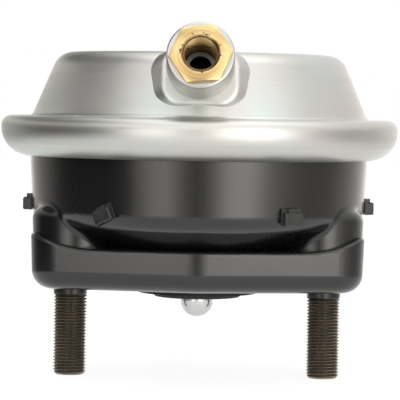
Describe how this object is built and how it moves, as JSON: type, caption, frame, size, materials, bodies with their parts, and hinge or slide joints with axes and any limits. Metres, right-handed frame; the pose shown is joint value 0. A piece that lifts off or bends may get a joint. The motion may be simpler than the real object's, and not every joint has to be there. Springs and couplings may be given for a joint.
{
  "type": "air brake chamber",
  "caption": "Service diaphragm air brake chamber: pressed steel cover crimped over a black drawn body, angled air port with brass insert, threaded mounting studs, ball-ended push rod",
  "frame": {"origin": "on the chamber's axis at the mounting face, midway between the two studs", "axes": "+Z along the chamber's axis from the mounting face towards the air cover; the air port faces -Y; the studs lie on X"},
  "size_m": [0.188, 0.1923, 0.1659],
  "materials": {
    "zinc": "bright satin zinc plating with faint iridescence",
    "zinc_boss": "turned steel, zinc plated",
    "brass": "machined brass",
    "black_paint": "semi-gloss black paint",
    "stud_steel": "dark phosphated steel, oiled",
    "plain_steel": "plain pressed steel",
    "spring_steel": "blued spring steel",
    "rod_steel": "bright zinc plated steel, smooth",
    "black_rubber": "moulded black rubber, matte",
    "plug_plastic": "moulded black plastic"
  },
  "bodies": {
    "housing": {"body": "black_paint", "cover": "zinc", "port_boss": "zinc_boss", "port_insert": "brass", "stud_plate": "plain_steel", "stud_left": "stud_steel", "stud_right": "stud_steel", "diaphragm": "black_rubber", "bellows": "black_rubber", "rod_seal": "black_rubber", "return_spring": "spring_steel"},
    "piston": {"push_plate": "plain_steel", "rod_socket": "plain_steel", "socket_ring": "plain_steel"},
    "rod": {"push_rod": "rod_steel", "bellows_clip": "rod_steel"},
    "drain_plug_1": {"plug_1": "plug_plastic"},
    "drain_plug_2": {"plug_2": "plug_plastic"},
    "drain_plug_3": {"plug_3": "plug_plastic"},
    "drain_plug_4": {"plug_4": "plug_plastic"},
    "drain_plug_5": {"plug_5": "plug_plastic"},
    "drain_plug_6": {"plug_6": "plug_plastic"}
  },
  "joints": [
    {"name": "piston_stroke", "type": "slide", "parent": "housing", "child": "piston", "axis": [0, 0, -1], "range_m": [0, 0.057], "stiffness_N_per_m": 2200, "springref_m": -0.03, "deforming": ["return_spring", "bellows", "diaphragm"]},
    {"name": "rod_swivel", "type": "hinge", "parent": "piston", "child": "rod", "pos_m": [0, 0, 0.0879], "axis": [1, 0, 0], "range_deg": [-3, 3], "stiffness_Nm_per_rad": 4},
    {"name": "drain_plug_1_pull", "type": "slide", "parent": "housing", "child": "drain_plug_1", "axis": [1, 0, 0], "range_m": [0, 0.008]},
    {"name": "drain_plug_2_pull", "type": "slide", "parent": "housing", "child": "drain_plug_2", "axis": [0.5225, 0.8526, 0], "range_m": [0, 0.008]},
    {"name": "drain_plug_3_pull", "type": "slide", "parent": "housing", "child": "drain_plug_3", "axis": [-0.5225, 0.8526, 0], "range_m": [0, 0.008]},
    {"name": "drain_plug_4_pull", "type": "slide", "parent": "housing", "child": "drain_plug_4", "axis": [-1, 0, 0], "range_m": [0, 0.008]},
    {"name": "drain_plug_5_pull", "type": "slide", "parent": "housing", "child": "drain_plug_5", "axis": [-0.5225, -0.8526, 0], "range_m": [0, 0.008]},
    {"name": "drain_plug_6_pull", "type": "slide", "parent": "housing", "child": "drain_plug_6", "axis": [0.5225, -0.8526, 0], "range_m": [0, 0.008]}
  ]
}
